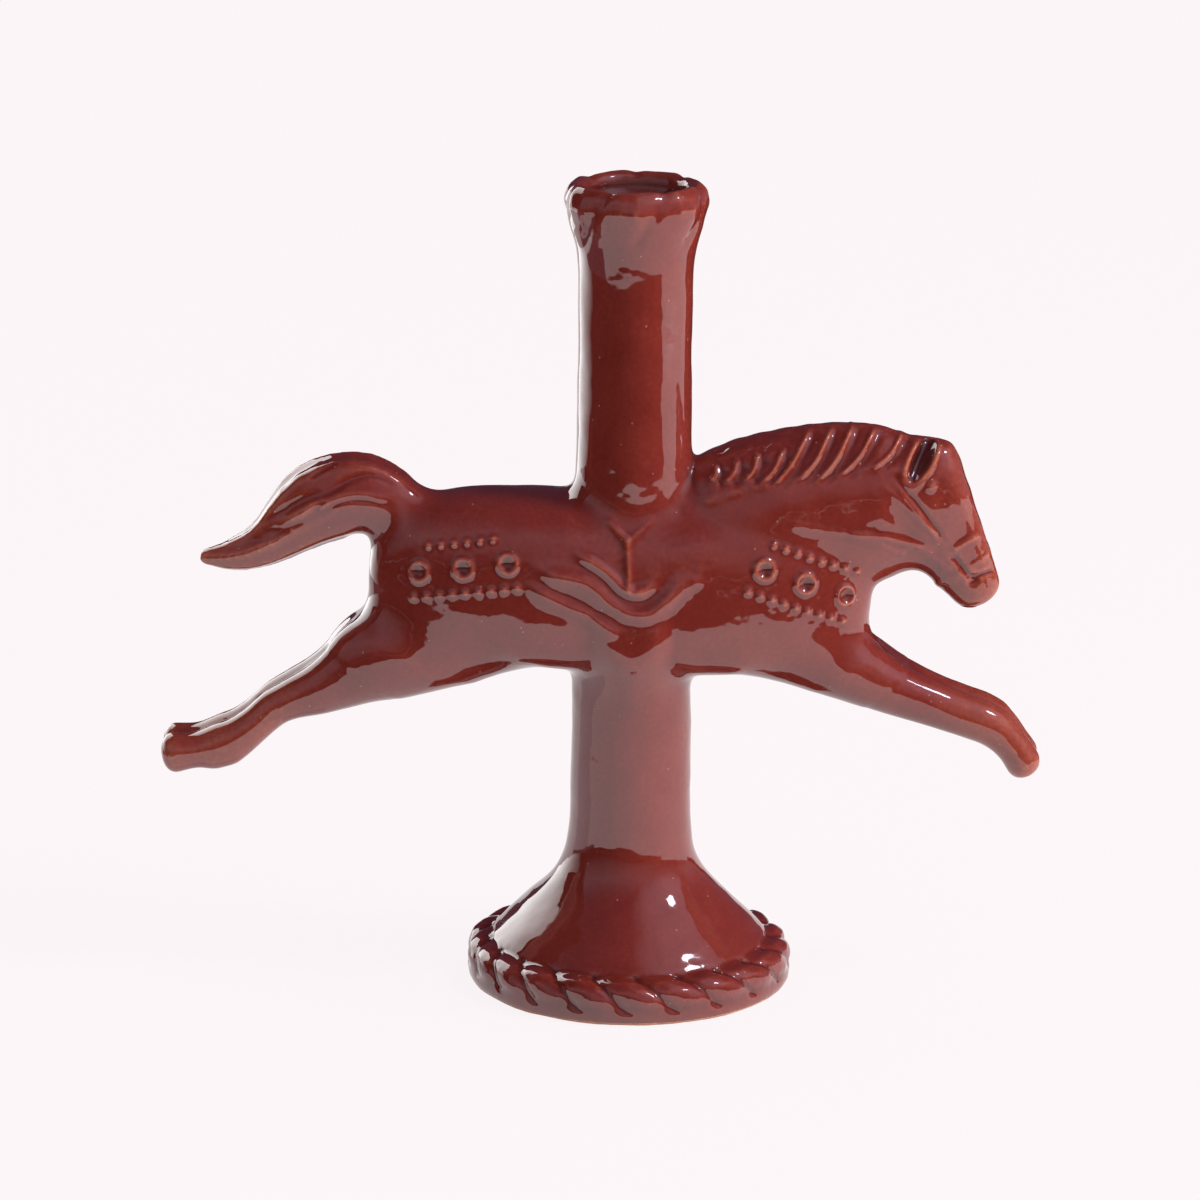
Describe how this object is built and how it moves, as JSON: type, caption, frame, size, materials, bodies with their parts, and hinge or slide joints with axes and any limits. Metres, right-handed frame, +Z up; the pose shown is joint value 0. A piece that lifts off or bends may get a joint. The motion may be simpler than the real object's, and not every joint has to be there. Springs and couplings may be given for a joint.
{
  "type": "figural candle holder",
  "caption": "Glazed earthenware candle holder: a leaping fairground horse on a pole that rises through its saddle to a collared socket for a taper candle, on a bell foot with a rope border.",
  "frame": {"origin": "centre of the foot on the table, on the pole's axis", "axes": "+X towards the horse's head, +Y to its left side, +Z up along the pole"},
  "size_m": [0.2218, 0.0832, 0.205],
  "materials": {
    "glaze": "gloss",
    "glaze_thin": "gloss"
  },
  "bodies": {
    "root": {"foot": "glaze", "rope_border": "glaze", "pole": "glaze", "socket_floor": "glaze", "collar": "glaze", "barrel": "glaze", "neck": "glaze", "head": "glaze", "right_ear": "glaze", "left_ear": "glaze", "mane": "glaze", "tail": "glaze", "right_foreleg": "glaze", "left_foreleg": "glaze", "right_hind_leg": "glaze", "left_hind_leg": "glaze", "right_saddle_cloth": "glaze", "left_saddle_cloth": "glaze", "right_saddle_flap": "glaze", "left_saddle_flap": "glaze", "right_stirrup_strap": "glaze_thin", "left_stirrup_strap": "glaze_thin", "right_breast_band": "glaze_thin", "left_breast_band": "glaze_thin", "right_rump_band": "glaze_thin", "left_rump_band": "glaze_thin", "noseband": "glaze_thin", "right_cheek_strap": "glaze_thin", "left_cheek_strap": "glaze_thin", "right_rein": "glaze_thin", "left_rein": "glaze_thin"}
  },
  "joints": []
}
